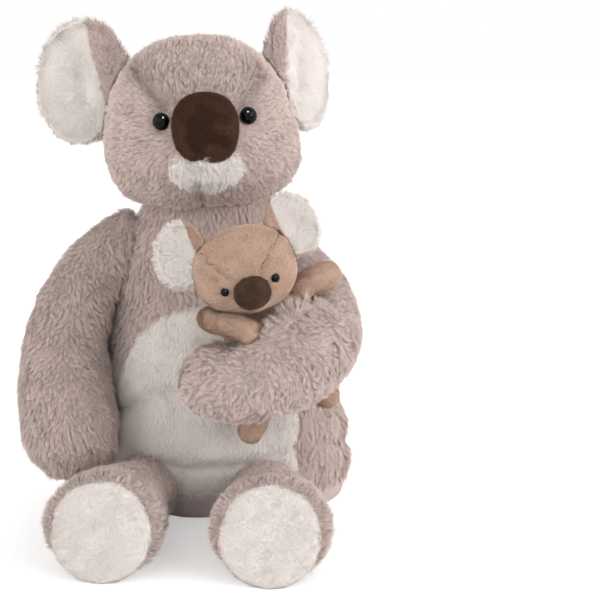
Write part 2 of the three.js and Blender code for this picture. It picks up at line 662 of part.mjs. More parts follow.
function addCubHead() {
  const onHead = (manifold) => manifold.transform(cubNod.elements);
  const room = solid(swell(cubFace, GAP));
  const nose = noseForm(CUB_NOSE, cubFace, 12, 8).subtract(room);
  piece('cub_nose', onHead(nose), TAUPE_VELVET, cub);
  let skull = solid(cubFace);
  for (const [side, sign] of SIDES) {
    const { at, facing } = eyePlace(cubFace, CUB_EYE, sign, new THREE.Vector3());
    const eye = solid(turnedPiece(eyeProfile(CUB_EYE), SMALL_SIDES - 2, at, facing));
    piece(`cub_eye_${side}`, onHead(eye), BLACK_BUTTON, cub);
    const socket = socketProfile(CUB_EYE, CUB_EYE.shankLength + GAP);
    skull = skull.subtract(solid(turnedPiece(socket, SMALL_SIDES - 2, at, facing)));
    const parts = earParts(CUB_EAR, sign, CUB_EAR_SLANT, CUB_EAR_SWEEP, 0, SMALL_DISH_SIDES);
    for (const [layer, look] of [['back', TAN_PLUSH], ['front', WHITE_FUR]]) {
      const ear = parts[layer].translate(sign * CUB_EAR_ROOT, CUB_EAR.setBack, CUB_EAR.level);
      piece(`cub_ear_${layer}_${side}`, onHead(solid(ear).subtract(room)), look, cub);
    }
  }
  piece('cub_head', onHead(skull).intersect(above(0)), TAN_PLUSH, cub);
}

function addCubLimbs() {
  const bodyRoom = swell(cubBody, GAP);
  const bodyPath = swell(cubBody, PLAY);
  const neck = new THREE.Vector3();
  const headRoom = roomToTurn(swell(cubHead, GAP), swell(cubHead, PLAY), neck, Z, CUB_HEAD_TURN, 2);
  const upright = Z.clone().applyQuaternion(cub.quaternion.clone().invert());
  const swings = {
    arm_right: [CUB_ARMS.right, upright.clone().negate(), CUB_ARM_SWING],
    arm_left: [CUB_ARMS.left, Y.clone().negate(), CUB_ARM_SWING],
    leg_right: [CUB_LEGS.right, AHEAD, CUB_LEG_SWING.right],
    leg_left: [CUB_LEGS.left, AHEAD, CUB_LEG_SWING.left],
  };
  for (const [name, [stations, axis, range]] of Object.entries(swings)) {
    const pivot = new THREE.Vector3(...stations[0].slice(0, 3));
    const limb = solid(limbForm(stations, SMALL_SIDES - 2, SMALL_RINGS));
    const room = roomToTurn(bodyRoom, bodyPath, pivot, axis, range, TURN_STEPS);
    piece(`cub_${name}`, limb.subtract(room).subtract(headRoom), TAN_PLUSH, cub, pivot);
  }
}

addTorso();
addHead();
addEars();
addLegs();
addArms();
addCubBody();
addCubHead();
addCubLimbs();

export default toy;
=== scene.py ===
# Seated plush koala that hugs a small plush koala: skins, pile, noses, eyes, light and camera round the CAD frame.
import json
import math

import bmesh
import bpy
import numpy as np
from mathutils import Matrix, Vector
from mathutils.bvhtree import BVHTree


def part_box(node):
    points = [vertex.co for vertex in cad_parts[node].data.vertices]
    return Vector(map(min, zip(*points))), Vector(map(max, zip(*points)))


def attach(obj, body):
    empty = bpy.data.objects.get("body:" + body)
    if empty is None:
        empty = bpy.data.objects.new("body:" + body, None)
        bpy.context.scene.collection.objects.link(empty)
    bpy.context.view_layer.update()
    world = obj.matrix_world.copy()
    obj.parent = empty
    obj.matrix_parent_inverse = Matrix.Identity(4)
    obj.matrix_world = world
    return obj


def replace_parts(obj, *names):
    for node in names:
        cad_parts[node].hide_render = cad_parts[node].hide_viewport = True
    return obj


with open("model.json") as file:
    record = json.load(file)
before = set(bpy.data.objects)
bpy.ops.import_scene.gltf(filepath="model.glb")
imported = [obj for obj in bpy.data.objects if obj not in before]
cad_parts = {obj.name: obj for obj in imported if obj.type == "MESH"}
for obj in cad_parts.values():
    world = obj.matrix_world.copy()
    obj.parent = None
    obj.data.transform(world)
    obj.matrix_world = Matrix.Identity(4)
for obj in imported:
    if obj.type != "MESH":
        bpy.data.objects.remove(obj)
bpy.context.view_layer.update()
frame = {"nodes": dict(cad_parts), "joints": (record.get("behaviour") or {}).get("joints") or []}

MM = 0.001  # forms are worked out in millimetres and written in metres

# The camera stands where the photograph was taken from
PICTURE_WIDTH = 600  # pixels
FOCAL_LENGTH = 1294  # pixels
FILM_WIDTH = 36  # millimetres
CAMERA_AT = Vector((0.128, -0.911, 0.340))
CAMERA_DOWN = math.radians(12)
CAMERA_ASIDE = math.atan(88 / FOCAL_LENGTH)  # the toy's axis lies 88 pixels left of the middle of the picture

# Light
WORLD_LEVEL = 0.56
LAMPS = {
    "key": {"from": (1.0, -0.45, 0.35), "width": math.radians(50), "level": 1.75},
    "front": {"from": (-0.35, -1.0, 0.16), "width": math.radians(60), "level": 0.65},
    "back": {"from": (0.5, 1.0, 0.5), "width": math.radians(90), "level": 0.9},
    "catch": {"from": (0.25, -0.6, 0.75), "width": math.radians(20), "level": 9.0, "in_gloss_only": True},
    "fill": {"from": (-1.0, -0.5, 0.3), "width": math.radians(60), "level": 1.0},
}
FLOOR_HALF = 8  # metres from its middle to its edge
FLOOR_COLOUR = (0.97, 0.97, 0.97)
FLOOR_GLOW = 0.4  # for what shows the background, so that the open floor is as white as it

# Colours, as sRGB shares
GREY = (0.835, 0.765, 0.735)
WHITE = (0.965, 0.938, 0.918)
SEAT_GREY = (0.790, 0.730, 0.715)
NOSE_BROWN = (0.33, 0.235, 0.185)
NOSE_SHEEN = (0.62, 0.50, 0.43)
TAN = (0.800, 0.680, 0.603)
CREAM = (0.900, 0.860, 0.830)
TAUPE = (0.340, 0.262, 0.215)
COTTON = (0.880, 0.840, 0.760)
BLACK = (0.02, 0.02, 0.022)
THREAD_BROWN = (0.30, 0.22, 0.18)
WASHER_WHITE = (0.87, 0.87, 0.87)

# Fabric
PATCH = 30  # millimetres across the broad patches of its colour
FINE_SHARE = 0.6  # of its colour's variation that follows the grain, while the rest follows the patches
NOISE_RANGE = (0.3, 0.7)  # of the noise, from the darkest colour to the lightest
SHEEN_ROUGHNESS = 0.4

# Pile: millimetres, strands per square millimetre, and degrees from the surface
FUR = {"length": 6.4, "width": 0.27, "density": 2.6, "lift": 27, "gather": 0.5, "clump": 3.0}
LEG_FUR = {"length": 5.8, "width": 0.3, "density": 2.4, "lift": 38, "gather": 0.45, "clump": 2.8}
EAR_BACK = {"length": 5.2, "width": 0.3, "density": 2.3, "lift": 30, "gather": 0.45, "clump": 2.4}
BELLY_PILE = {"length": 3.4, "width": 0.3, "density": 2.6, "lift": 32, "gather": 0.35, "clump": 2.4}
FLUFF = {"length": 4.4, "width": 0.3, "density": 4.4, "lift": 50, "gather": 0.25, "clump": 2.0}
SOLE_PILE = {"length": 1.6, "width": 0.32, "density": 4.6, "lift": 45, "gather": 0.2, "clump": 1.6}
EAR_PILE = {"length": 3.2, "width": 0.32, "density": 2.8, "lift": 38, "gather": 0.3, "clump": 2.2}
CUB_EAR_PILE = {"length": 4.4, "width": 0.26, "density": 5.0, "lift": 48, "gather": 0.15, "clump": 2.4}
PLUSH = {"length": 1.5, "width": 0.28, "density": 5.0, "lift": 45, "gather": 0.35, "clump": 1.5}
VELVET = {"length": 0.8, "width": 0.26, "density": 7.0, "lift": 40, "gather": 0.2, "clump": 1.2}
STRAND_STEPS = 2  # from its root to its tip
STATION_POWER = 0.85  # below 1, so that a strand's last step is the shorter one
TIP_WIDTH = 0.55  # of a strand's last step, as a share of its width
STRAND_LENGTHS = (0.75, 1.15)  # shares of the style's length, for single strands
TUFT_LENGTHS = (0.85, 1.15)  # and for whole clumps
LENGTH_WAVES = (14, 0.15)  # millimetres across the places of longer and shorter pile, and by what share they differ
SWIRLS = (22, 8)  # millimetres across the broad and the fine swirls in a combed field
FINE_SWIRL = 0.6  # strength of the fine ones, where the broad ones have 1
TURN_SCATTER = (0.3, 0.12)  # of clumps, as a share of the swirls, and of single strands, in radians
LIFT_WAVES = (11, 7)  # millimetres across the places where pile stands and lies, and degrees between them
LIFT_SCATTER = (4, 6)  # degrees, of clumps and of single strands
ROLL_SCATTER = 0.25  # radians that a strand is turned about itself
MIDDLE_RISE = 0.5  # radians that a strand's middle stands further off the skin than its tip
STEEPEST = 1.5  # radians
MIDDLE_GATHER = 0.35  # how far a strand's middle is gathered, where its tip has 1
TONE_SHARES = (0.32, 0.3, 0.38)  # how far a strand's tone follows its clump, the strand alone and broad patches
TONE_PATCH = 16  # millimetres across such a patch
TONE_LIMITS = (0.34, 0.62)  # between dark, middle and light strands
FLOOR_CLEAR = 0.3  # millimetres that pile keeps above the floor
SKIN_CLEAR = 0.2  # and off a skin that it avoids
SEARCH = 12  # millimetres within which such a skin is looked for
SOFTNESS = 0.55  # how far a strand is shaded as the skin under it, which is how light goes through pile
MOST_STRANDS = 39000  # in one piece

SIDES = {"right": 5, "left": 4}  # with what each side adds to the seeds of its pile


# Materials


def srgb(colour, factor=1.0):
    """A colour written as sRGB shares, for a shader, lighter or darker by a factor."""
    linear = [c / 12.92 if c <= 0.04045 else ((c + 0.055) / 1.055) ** 2.4 for c in colour]
    return (*[min(1.0, c * factor) for c in linear], 1.0)


def math_node(nodes, links, operation, *values):
    """The result of a Math node whose inputs are numbers or other nodes' results."""
    found = nodes.new("ShaderNodeMath")
    found.operation = operation
    for socket, value in zip(found.inputs, values):
        if isinstance(value, float):
            socket.default_value = value
        else:
            links.new(value, socket)
    return found.outputs[0]


def principled(name, colour, roughness, sheen=0.0, gloss=0.0, factor=1.0, tint=None):
    material = bpy.data.materials.new(name)
    material.use_nodes = True
    shader = material.node_tree.nodes["Principled BSDF"]
    shader.inputs["Base Color"].default_value = srgb(colour, factor)
    shader.inputs["Roughness"].default_value = roughness
    shader.inputs["Sheen Weight"].default_value = sheen
    shader.inputs["Sheen Roughness"].default_value = SHEEN_ROUGHNESS
    shader.inputs["Sheen Tint"].default_value = srgb([0.5 + 0.5 * c for c in colour] if tint is None else tint)
    shader.inputs["Specular IOR Level"].default_value = gloss
    return material


def cloth(name, colour, grain, contrast=0.12, bump=0.4, roughness=0.95, sheen=0.2, tint=None):
    """Fabric whose colour and surface vary in a grain of that size, in millimetres, and in broad soft patches."""
    material = principled(name, colour, roughness, sheen, tint=tint)
    nodes, links = material.node_tree.nodes, material.node_tree.links
    shader = nodes["Principled BSDF"]
    place = nodes.new("ShaderNodeTexCoord").outputs["Object"]

    def noise(size, detail):
        texture = nodes.new("ShaderNodeTexNoise")
        texture.inputs["Scale"].default_value = 1 / (size * MM)
        texture.inputs["Detail"].default_value = detail
        links.new(place, texture.inputs["Vector"])
        return texture.outputs["Fac"]

    fine, broad = noise(grain, 3), noise(PATCH, 2)
    fine_part = math_node(nodes, links, "MULTIPLY", fine, FINE_SHARE)
    both = math_node(nodes, links, "MULTIPLY_ADD", broad, 1 - FINE_SHARE, fine_part)
    ramp = nodes.new("ShaderNodeValToRGB")
    for stop, place_on_ramp, factor in zip(ramp.color_ramp.elements, NOISE_RANGE, (1 - 2 * contrast, 1 + contrast)):
        stop.position = place_on_ramp
        stop.color = srgb(colour, factor)
    relief = nodes.new("ShaderNodeBump")
    relief.inputs["Strength"].default_value = bump
    relief.inputs["Distance"].default_value = grain * MM
    links.new(both, ramp.inputs["Fac"])
    links.new(ramp.outputs["Color"], shader.inputs["Base Color"])
    links.new(fine, relief.inputs["Height"])
    links.new(relief.outputs["Normal"], shader.inputs["Normal"])
    return material


def tints(name, colour, spread=0.14, sheen=0.6, tint=None):
    """Four tints of pile, from its deep roots to its light tips."""
    factors = (1 - 2 * spread, 1 - spread, 1.0, 1 + spread)
    return [principled(f"{name}_{k}", colour, 0.9, sheen, factor=f, tint=tint) for k, f in enumerate(factors)]


SKINS = {
    "grey": cloth("grey_backing", GREY, 1.2, bump=0.3),
    "white": cloth("white_backing", WHITE, 1.2, contrast=0.06, bump=0.3),
    "seat": cloth("seat_velour", SEAT_GREY, 0.8, contrast=0.08, bump=0.35),
    "nose": cloth("nose_backing", [0.75 * c for c in NOSE_BROWN], 0.5, bump=0.3, sheen=0.6, tint=NOSE_SHEEN),
    "tan": cloth("tan_backing", TAN, 0.7, contrast=0.08, bump=0.3),
    "cream": cloth("cream_backing", CREAM, 0.7, contrast=0.06, bump=0.3),
    "taupe": cloth("taupe_backing", TAUPE, 0.5, contrast=0.1, bump=0.3, sheen=0.4, tint=NOSE_SHEEN),
    "cotton": cloth("cotton_weave", COTTON, 0.6, contrast=0.06, bump=0.6),
}
PILES = {
    "grey": tints("grey_pile", GREY, 0.16),
    "white": tints("white_pile", WHITE, 0.05, 0.4),
    # The noses' tints spread wide, so that the painted sheen on their rims shows
    "nose": tints("nose_pile", NOSE_BROWN, 0.46, 0.8, NOSE_SHEEN),
    "tan": tints("tan_pile", TAN, 0.19),
    "cream": tints("cream_pile", CREAM, 0.06),
    "taupe": tints("taupe_pile", TAUPE, 0.38, 0.5, NOSE_SHEEN),
}
EYE_GLOSS = principled("eye_black", BLACK, 0.05, gloss=0.12)
THREAD = cloth("brown_thread", THREAD_BROWN, 0.3, bump=0.5)
WASHER_PLASTIC = cloth("washer_plastic", WASHER_WHITE, 0.4, contrast=0.02, bump=0.05, roughness=0.5, sheen=0)


# Noise and distances


def unit(vectors):
    return vectors / np.maximum(np.linalg.norm(vectors, axis=-1, keepdims=True), 1e-9)


def waves(points, length, seed, count=9):
    """Smooth noise about 0, mostly from -1 to 1, that varies over about that length."""
    rng = np.random.default_rng(seed)
    directions = unit(rng.normal(size=(count, 3))) * rng.uniform(0.6, 1.5, (count, 1)) * 2 * np.pi / length
    phases = rng.uniform(0, 2 * np.pi, count)
    return np.sin(points @ directions.T + phases).sum(1) / np.sqrt(2 * count)


def bell(distance, width):
    return np.exp(-((distance / width) ** 2))


def from_front(points):
    """Points as they are seen from the front, in two dimensions."""
    return points[:, [0, 2]]


def to_point(points, place):
    return np.linalg.norm(points - place, axis=1)


def to_line(points, line):
    """Distance from each point to an open line through the given points, in as many dimensions as they have."""
    best = np.full(len(points), np.inf)
    for a, b in zip(line[:-1], line[1:]):
        a, b = np.array(a, float), np.array(b, float)
        along = np.clip(((points - a) @ (b - a)) / ((b - a) @ (b - a)), 0, 1)
        best = np.minimum(best, np.linalg.norm(points - a - along[:, None] * (b - a), axis=1))
    return best


def read(things, what, width, kind=float):
    """One value, or one vector, of each part of a mesh, as an array."""
    values = np.empty(len(things) * width, kind)
    things.foreach_get(what, values)
    return values.reshape(-1, width)


def add_piece(name, mesh, body):
    """A mesh as a piece of the toy, on a body."""
    piece = bpy.data.objects.new(name, mesh)
    bpy.context.scene.collection.objects.link(piece)
    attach(piece, body)
    return piece


# Skins

END_SLICE = 1.5  # millimetres each way of the slice that a rounded end's middle is taken from
END_BLEND = 0.4  # share of its radius over which the rounding sets in


class Skin:
    """A closed soft form round CAD nodes, evenly meshed, with a kind of fabric at each of its points."""

    def __init__(self, nodes, voxel, kind=""):
        bm = bmesh.new()
        for node in nodes:
            bm.from_mesh(frame["nodes"][node].data)
        rough = bpy.data.meshes.new("rough")
        bm.to_mesh(rough)
        bm.free()
        thing = bpy.data.objects.new("rough", rough)
        bpy.context.scene.collection.objects.link(thing)
        remesh = thing.modifiers.new("even", "REMESH")
        remesh.mode = "VOXEL"
        remesh.voxel_size = voxel * MM
        depsgraph = bpy.context.evaluated_depsgraph_get()
        self.mesh = bpy.data.meshes.new_from_object(thing.evaluated_get(depsgraph))
        bpy.data.objects.remove(thing)
        bpy.data.meshes.remove(rough)
        self.nodes = nodes
        self.keep_outer()
        self.points = read(self.mesh.vertices, "co", 3) / MM
        self.edges = read(self.mesh.edges, "vertices", 2, int)
        self.kinds = np.full(len(self.points), kind, dtype="U12")

    def keep_outer(self):
        """Only the largest closed surface stays."""
        bm = bmesh.new()
        bm.from_mesh(self.mesh)
        left, islands = set(bm.verts), []
        while left:
            island, edge = set(), [left.pop()]
            while edge:
                vertex = edge.pop()
                island.add(vertex)
                for link in vertex.link_edges:
                    other = link.other_vert(vertex)
                    if other in left:
                        left.remove(other)
                        edge.append(other)
            islands.append(island)
        largest = max(islands, key=len)
        bmesh.ops.delete(bm, geom=[v for v in bm.verts if v not in largest], context="VERTS")
        bm.to_mesh(self.mesh)
        bm.free()

    def mean(self, values):
        """Each point's value from its neighbours."""
        a, b = self.edges.T
        count = np.bincount(a, minlength=len(values)) + np.bincount(b, minlength=len(values))
        columns = values.reshape(len(values), -1).T
        sums = [
            np.bincount(a, column[b], len(values)) + np.bincount(b, column[a], len(values)) for column in columns
        ]
        return (np.array(sums) / count).T.reshape(values.shape)

    def blur(self, values, passes):
        for _ in range(passes):
            values = 0.5 * values + 0.5 * self.mean(values)
        return values

    def smooth(self, passes):
        """Takes out facets and keeps the size: each pass shrinks the form and swells it again."""
        for _ in range(passes):
            for share in (0.5, -0.52):
                self.points += share * (self.mean(self.points) - self.points)

    def write(self):
        self.mesh.vertices.foreach_set("co", (self.points * MM).ravel())
        self.mesh.update()

    def normals(self):
        self.write()
        return read(self.mesh.vertex_normals, "vector", 3)

    def push(self, distance):
        """Moves the surface outward by a distance, or by one for each point."""
        self.points += self.normals() * np.broadcast_to(distance, len(self.points))[:, None]

    def bulge(self, place, reach, height, where=1):
        """The surface stands out round a place, or sinks in where the height is below 0."""
        self.push(height * bell(to_point(self.points, place), reach) * where)

    def crease(self, line, width, depth, where=1):
        """The surface sinks along a line, which has two dimensions where it is drawn from the front."""
        points = self.points if len(line[0]) == 3 else from_front(self.points)
        self.push(-depth * bell(to_line(points, line), width) * where)

    def stay_above_floor(self):
        self.points[:, 2] = np.maximum(self.points[:, 2], 0)

    def name_kinds(self, by_node):
        """Each point's kind of fabric is that of the nearest of these nodes."""
        trees = {}
        for node in by_node:
            data = frame["nodes"][node].data
            faces = [tuple(p.vertices) for p in data.polygons]
            trees[node] = BVHTree.FromPolygons([v.co for v in data.vertices], faces)
        for i, point in enumerate(self.points * MM):
            near = min(trees, key=lambda node: trees[node].find_nearest(Vector(point))[3])
            self.kinds[i] = by_node[near]

    def lean(self, other, reach, place, radius):
        """Points near a place reach for another skin, as a sewn end does, and end just under its surface."""
        tree = other.tree()
        for i in np.flatnonzero(to_point(self.points, place) < radius):
            spot, facing, _, distance = tree.find_nearest(Vector(self.points[i] * MM), reach * MM)
            if spot is not None:
                share = 1 - distance / (reach * MM)
                self.points[i] += share * (np.array(spot - facing * MM) / MM - self.points[i])

    def round_end(self, place, radius):
        """The end furthest from a place keeps within a ball of that radius."""
        away = self.points - place
        direction = unit(away[np.argmax(np.linalg.norm(away, axis=1))])
        along = away @ direction
        past_middle = along - along.max() + radius
        centre = self.points[np.abs(past_middle) < END_SLICE].mean(0)
        past = np.clip(past_middle / (END_BLEND * radius), 0, 1)
        away = self.points - centre
        share = np.minimum(1, radius / np.maximum(np.linalg.norm(away, axis=1), 1e-6))
        self.points = centre + away * (1 + past * (share - 1))[:, None]

    def seams(self):
        """1 where kinds meet, and 0 elsewhere."""
        a, b = self.edges.T
        meets = np.zeros(len(self.points))
        differ = self.kinds[a] != self.kinds[b]
        meets[a[differ]] = 1
        meets[b[differ]] = 1
        return meets

    def finish(self, name, body, slot_kind):
        """The skin as a piece of the toy, with a material for each kind."""
        self.write()
        kinds = sorted(set(self.kinds), key=lambda kind: (kind != slot_kind, kind))
        self.mesh.materials.clear()
        for kind in kinds:
            self.mesh.materials.append(SKINS[kind])
        first = np.array([polygon.vertices[0] for polygon in self.mesh.polygons])
        numbers = np.array([kinds.index(kind) for kind in self.kinds[first]], dtype=np.int32)
        self.mesh.polygons.foreach_set("material_index", numbers)
        self.mesh.polygons.foreach_set("use_smooth", np.ones(len(numbers), bool))
        self.mesh.name = name
        self.body = body
        piece = add_piece(name, self.mesh, body)
        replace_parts(piece, *self.nodes)

    def tree(self):
        faces = [tuple(p.vertices) for p in self.mesh.polygons]
        return BVHTree.FromPolygons([v.co for v in self.mesh.vertices], faces)


# Pile


def scatter(skin, kind, density, rng):
    """Points and normals, spread over the skin's faces of that kind."""
    skin.mesh.calc_loop_triangles()
    triangles = read(skin.mesh.loop_triangles, "vertices", 3, int)
    triangles = triangles[(skin.kinds[triangles] == kind).sum(1) >= 2]
    a, b, c = (skin.points[triangles[:, k]] for k in range(3))
    areas = np.linalg.norm(np.cross(b - a, c - a), axis=1) / 2
    count = int(areas.sum() * density)
    chosen = rng.choice(len(triangles), count, p=areas / areas.sum())
    u, v = np.sqrt(rng.random(count)), rng.random(count)
    shares = np.stack([1 - u, u * (1 - v), u * v], axis=1)[:, :, None]
    corners = triangles[chosen]
    normals = skin.normals()
    return (skin.points[corners] * shares).sum(1), unit((normals[corners] * shares).sum(1))


def clumps(points, size, rng):
    """The number of each point's clump: the nearest of scattered middles, about that far apart."""
    cells = np.floor(points / size).astype(int)
    best = np.full(len(points), np.inf)
    names = np.zeros(len(points), dtype=np.int64)
    salt = rng.integers(1, 1 << 30)
    for offset in np.ndindex(3, 3, 3):
        cell = cells + np.array(offset) - 1
        # A cell's code is a hash of its place, and its middle is scattered by remainders of the code
        code = (cell[:, 0] * 73856093) ^ (cell[:, 1] * 19349663) ^ (cell[:, 2] * 83492791) ^ salt
        jitter = np.stack([(code * p % 1009) / 1009 for p in (7919, 104729, 1299709)], axis=1)
        distance = np.linalg.norm((cell + jitter) * size - points, axis=1)
        nearer = distance < best
        best[nearer] = distance[nearer]
        names[nearer] = code[nearer]
    return np.unique(names, return_inverse=True)[1].ravel()


def bunch(values, clump):
    """Each strand's value replaced by the mean over its clump."""
    count = np.bincount(clump)
    return np.stack([np.bincount(clump, column) / count for column in values.T], axis=1)[clump]


def comb_along(direction):
    return lambda points: np.broadcast_to(np.array(direction, float), points.shape)


def comb_from(centre, bias=(0, 0, 0)):
    """Away from a point, leaning in a direction."""
    centre, bias = np.array(centre, float), np.array(bias, float)
    return lambda points: unit(points - centre) + bias


def lie(roots, normals, comb, turn, lift, clump, seed, rng):
    """Each strand's direction along the skin, and its angle off it in radians."""
    tufts = clump.max() + 1
    field = comb(roots)
    field = unit(field - (field * normals).sum(1, keepdims=True) * normals)
    across = np.cross(normals, field)
    angle = turn * (waves(roots, SWIRLS[0], seed + 2) + FINE_SWIRL * waves(roots, SWIRLS[1], seed + 3))
    angle += rng.normal(0, TURN_SCATTER[0] * turn, tufts)[clump] + rng.normal(0, TURN_SCATTER[1], len(roots))
    combed = field * np.cos(angle)[:, None] + across * np.sin(angle)[:, None]
    across_places, degrees = LIFT_WAVES
    lift = lift + degrees * waves(roots, across_places, seed + 4) + rng.normal(0, LIFT_SCATTER[0], tufts)[clump]
    return combed, np.radians(lift + rng.normal(0, LIFT_SCATTER[1], len(roots)))[:, None]


def inside(points, other):
    """True for points that lie in another skin, or close above it."""
    tree = other.tree()
    found = np.zeros(len(points), bool)
    for i, point in enumerate(points):
        spot, facing, _, _ = tree.find_nearest(Vector(point * MM), SEARCH * MM)
        found[i] = spot is not None and (Vector(point * MM) - spot).dot(facing) < SKIN_CLEAR * MM
    return found


def strand_mesh(name, stations, sides, widths, classes, normals, materials):
    """Tapering strands as one mesh. stations: (strand, station, 3), of which the last is the pointed tip."""
    count, steps = len(stations), stations.shape[1] - 1
    half = sides[:, None, :] * (np.array(widths)[None, :, None] * 0.5)
    low, high = stations[:, :-1] - half, stations[:, :-1] + half
    pairs = np.stack([low, high], axis=2).reshape(count, 2 * steps, 3)
    points = np.concatenate([pairs, stations[:, -1:]], axis=1)
    quads = [[2 * k, 2 * k + 1, 2 * k + 3, 2 * k + 2] for k in range(steps - 1)]
    corners = np.array(sum(quads, []) + [2 * steps - 2, 2 * steps - 1, 2 * steps])
    loops = (np.arange(count)[:, None] * (2 * steps + 1) + corners).ravel()
    starts = np.arange(count)[:, None] * len(corners) + 4 * np.arange(steps)
    numbers = np.clip(classes[:, None] + np.arange(steps) - steps + 2, 0, len(materials) - 1)
    numbers[:, 0] = np.maximum(numbers[:, 0] - 1, 0)
    mesh = bpy.data.meshes.new(name)
    mesh.vertices.add(points.shape[0] * points.shape[1])
    mesh.vertices.foreach_set("co", (points * MM).ravel().astype(np.float32))
    mesh.loops.add(len(loops))
    mesh.loops.foreach_set("vertex_index", loops.astype(np.int32))
    mesh.polygons.add(starts.size)
    mesh.polygons.foreach_set("loop_start", starts.ravel().astype(np.int32))
    mesh.polygons.foreach_set("material_index", numbers.ravel().astype(np.int32))
    mesh.polygons.foreach_set("use_smooth", np.ones(starts.size, bool))
    for material in materials:
        mesh.materials.append(material)
    mesh.update(calc_edges=True)
    own = unit(np.cross(sides, stations[:, -1] - stations[:, 0]))
    soft = np.repeat(unit(SOFTNESS * normals + (1 - SOFTNESS) * own), 2 * steps + 1, axis=0)
    shading = mesh.attributes.new("custom_normal", "FLOAT_VECTOR", "POINT")
    shading.data.foreach_set("vector", soft.astype(np.float32).ravel())
    return mesh


def pile(name, skin, kind, comb, style, seed, turn=0.5, shape=None, painted_light_and_shade=0.0, avoid=(), bare=None):
    """Strands of pile over the skin's fabric of one kind, combed along a field and gathered in clumps.

    turn is how far the strands swirl off the field. shape gives a factor of the length at each root, and bare is
    true where no pile grows. Painted light and shade, a number or one for each root, is added to the tone, so that
    the pile is drawn in lighter or darker tints where light or shade falls on it. Pile that would end in one of
    the skins in avoid is left out.
    """
    rng = np.random.default_rng(seed)
    roots, normals = scatter(skin, kind, style["density"], rng)
    wave_length, wave_height = LENGTH_WAVES
    lengths = style["length"] * rng.uniform(*STRAND_LENGTHS, len(roots))
    lengths *= 1 + wave_height * waves(roots, wave_length, seed + 1)
    if shape is not None:
        lengths *= shape(roots)
    clump = clumps(roots + 0.8 * normals, style["clump"], rng)
    lengths *= rng.uniform(*TUFT_LENGTHS, clump.max() + 1)[clump]
    combed, lift = lie(roots, normals, comb, turn, style["lift"], clump, seed, rng)
    rise = np.minimum(lift + MIDDLE_RISE, STEEPEST)
    middles = roots + 0.5 * lengths[:, None] * (combed * np.cos(rise) + normals * np.sin(rise))
    tips = roots + lengths[:, None] * (combed * np.cos(lift) + normals * np.sin(lift))
    tips += style["gather"] * (bunch(tips, clump) - tips)
    middles += MIDDLE_GATHER * style["gather"] * (bunch(middles, clump) - middles)
    keep = np.ones(len(roots), bool) if bare is None else ~bare(roots)
    for other in avoid:
        keep &= ~inside(tips, other)
    roots, middles, tips, normals, clump = (x[keep] for x in (roots, middles, tips, normals, clump))
    at = (np.linspace(0, 1, STRAND_STEPS + 1) ** STATION_POWER)[None, :, None]
    stations = (1 - at) ** 2 * roots[:, None] + 2 * at * (1 - at) * middles[:, None] + at**2 * tips[:, None]
    stations[:, :, 2] = np.maximum(stations[:, :, 2], FLOOR_CLEAR)
    along = unit(tips - roots)
    side = unit(np.cross(along, normals))
    roll = rng.normal(0, ROLL_SCATTER, len(roots))[:, None]
    side = side * np.cos(roll) + np.cross(along, side) * np.sin(roll)
    widths = style["width"] * np.linspace(1, TIP_WIDTH, STRAND_STEPS)
    by_clump, by_strand, by_patch = TONE_SHARES
    tone = by_clump * rng.random(clump.max() + 1)[clump] + by_strand * rng.random(len(roots))
    tone += by_patch * (0.5 + 0.5 * waves(roots, TONE_PATCH, seed + 5))
    # painted light and shade: lighter or darker tints where light or shade falls on the pile
    tone += painted_light_and_shade(roots) if callable(painted_light_and_shade) else painted_light_and_shade
    classes = np.digitize(tone, TONE_LIMITS) + 1
    order = np.argsort(roots[:, 2])
    parts = max(1, math.ceil(len(order) / MOST_STRANDS))
    for part, chosen in enumerate(np.array_split(order, parts)):
        label = f"{name}_{part + 1}" if parts > 1 else name
        of_part = (x[chosen] for x in (stations, side))
        mesh = strand_mesh(label, *of_part, widths, classes[chosen], normals[chosen], PILES[kind])
        add_piece(label, mesh, skin.body)


# Directions and places, from the frame


def corners(node):
    """The lowest and highest corner of a node, in millimetres."""
    return [np.array(corner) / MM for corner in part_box(node)]


def middle(node):
    return sum(corners(node)) / 2


def joint(name):
    """Where a joint's axis lies, and its direction."""
    found = next(j for j in frame["joints"] if j["name"] == name)
    return np.array(found.get("pos_m", (0, 0, 0))) / MM, unit(np.array(found["axis"], float))


def closeness(skin, other, reach):
    """1 where another skin touches this one, falling to 0 at that reach in millimetres."""
    tree = other.tree()
    near = [tree.find_nearest(Vector(point), reach * MM)[3] for point in skin.points * MM]
    return np.array([0.0 if distance is None else 1 - distance / (reach * MM) for distance in near])


NECK, UP = joint("head_turn")
DOWN = -UP
NOSE_AT = middle("nose")


# Torso. A bulge is a place, its reach and its height, and a crease a line, its width and its depth.

TORSO_PILE_SINK = {"grey": 3.0, "white": 2.0, "seat": 0.3}  # the backing lies this far under the pile's mean surface
FLANK_FROM = 60  # and outward, where the flank's forms are
HIP = ((95, 5, 22), 26, 5.0)
FLANK_CREASES = [
    ([(88, -40, 84), (98, 0, 74), (90, 40, 66)], 9, 4.0),
    ([(80, -50, 50), (99, -8, 44), (96, 30, 34)], 6, 3.0),
]
RIGHT_SHOULDER = ((-49, -14, 206), 16, 5.0)
BELLY_CREASES = [
    ([(-62, 76), (-36, 92), (0, 99), (40, 100)], 4.5, 4.2),
    ([(-50, 44), (-15, 40), (20, 42), (64, 50)], 4.5, 3.0),
]
COLLAR = 3  # the cover reaches this far up into the head's pile


